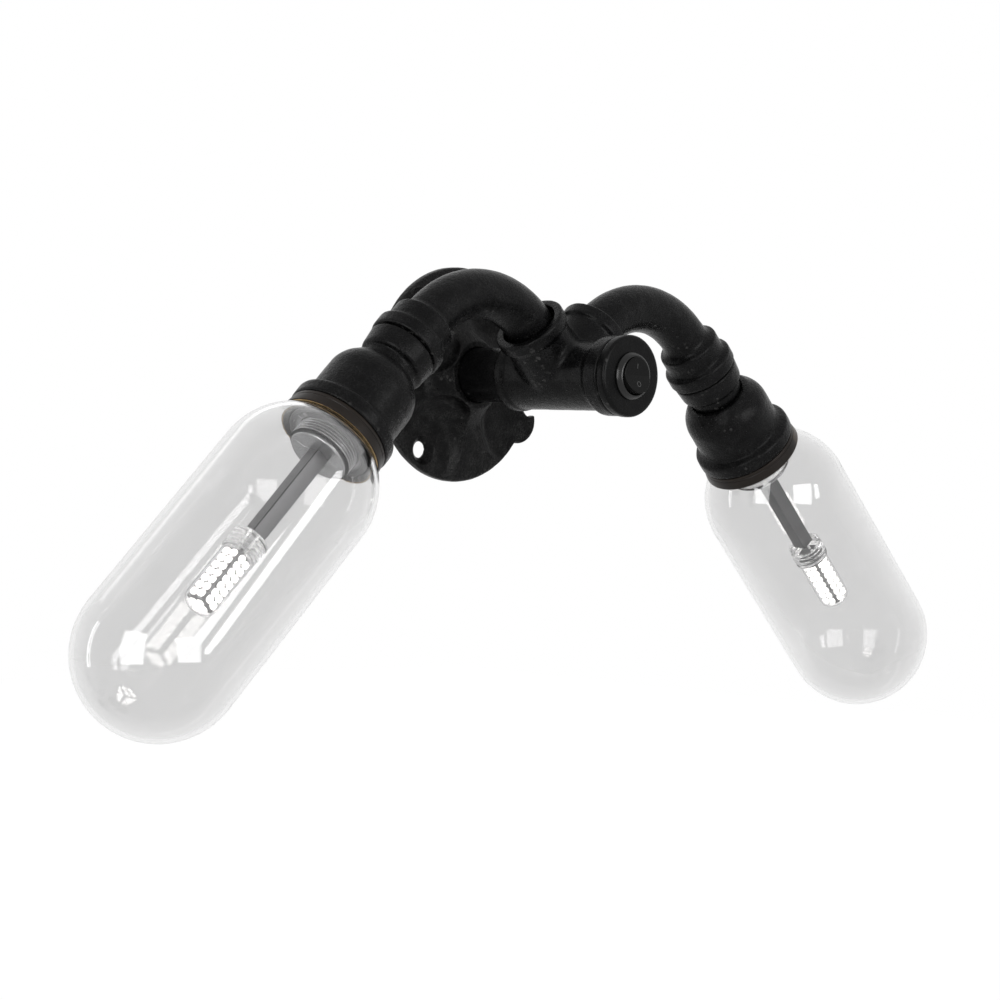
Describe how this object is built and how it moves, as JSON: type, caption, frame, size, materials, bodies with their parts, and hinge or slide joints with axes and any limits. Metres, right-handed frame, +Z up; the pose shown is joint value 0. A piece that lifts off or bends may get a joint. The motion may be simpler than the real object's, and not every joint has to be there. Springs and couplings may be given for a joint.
{
  "type": "wall light",
  "caption": "Wall light of black iron pipe fittings: a flange, a tee with a rocker switch, and elbows that carry clear glass capsule shades over plug-in bulbs.",
  "frame": {"origin": "centre of the wall flange's back face", "axes": "+Y into the wall, +Z up, +X to the right seen from the front"},
  "size_m": [0.4432, 0.1003, 0.175],
  "materials": {
    "cast_iron": "satin black paint on cast iron",
    "dark_bronze": "dark bronze, satin",
    "grey_steel": "satin zinc",
    "dark_steel": "satin",
    "clear_glass": "clear, gloss",
    "clear_plastic": "clear, gloss",
    "pin_metal": "satin",
    "led_core": "white board",
    "led_light": "lit light chips",
    "black_plastic": "black, semi-gloss",
    "lead_live": "brown insulation",
    "lead_neutral": "blue insulation"
  },
  "bodies": {
    "fixture": {"wall_flange": "cast_iron", "back_nipple": "cast_iron", "side_outlet_tee": "cast_iron", "switch_cap": "cast_iron", "switch_housing": "black_plastic", "switch_terminals": "pin_metal", "feed_live_lead": "lead_live", "feed_neutral_lead": "lead_neutral", "switched_live_lead": "lead_live", "live_splice_cap": "clear_plastic", "neutral_splice_cap": "clear_plastic", "left_elbow": "cast_iron", "left_collar_nipple": "cast_iron", "left_reducing_bell": "cast_iron", "left_shade_ring": "dark_bronze", "left_holder_plate": "grey_steel", "left_lampholder": "grey_steel", "left_lamp_stem": "dark_steel", "left_live_lead": "lead_live", "left_neutral_lead": "lead_neutral", "right_elbow": "cast_iron", "right_collar_nipple": "cast_iron", "right_reducing_bell": "cast_iron", "right_shade_ring": "dark_bronze", "right_holder_plate": "grey_steel", "right_lampholder": "grey_steel", "right_lamp_stem": "dark_steel", "right_live_lead": "lead_live", "right_neutral_lead": "lead_neutral"},
    "rocker": {"switch_rocker": "black_plastic"},
    "left_shade": {"left_glass_shade": "clear_glass"},
    "left_bulb": {"left_bulb_pins": "pin_metal", "left_bulb_collar": "clear_plastic", "left_led_board": "led_core", "left_led_chips": "led_light", "left_bulb_cover": "clear_plastic"},
    "right_shade": {"right_glass_shade": "clear_glass"},
    "right_bulb": {"right_bulb_pins": "pin_metal", "right_bulb_collar": "clear_plastic", "right_led_board": "led_core", "right_led_chips": "led_light", "right_bulb_cover": "clear_plastic"}
  },
  "joints": [
    {"name": "switch_rocker_tilt", "type": "hinge", "parent": "fixture", "child": "rocker", "pos_m": [0, -0.0964, 0], "axis": [1, 0, 0], "range_deg": [0, 16]},
    {"name": "left_shade_off", "type": "slide", "parent": "fixture", "child": "left_shade", "axis": [-0.7071, 0, -0.7071], "range_m": [0, 0.11]},
    {"name": "left_bulb_out", "type": "slide", "parent": "fixture", "child": "left_bulb", "axis": [-0.7071, 0, -0.7071], "range_m": [0, 0.012]},
    {"name": "right_shade_off", "type": "slide", "parent": "fixture", "child": "right_shade", "axis": [0.7071, 0, -0.7071], "range_m": [0, 0.11]},
    {"name": "right_bulb_out", "type": "slide", "parent": "fixture", "child": "right_bulb", "axis": [0.7071, 0, -0.7071], "range_m": [0, 0.012]}
  ]
}
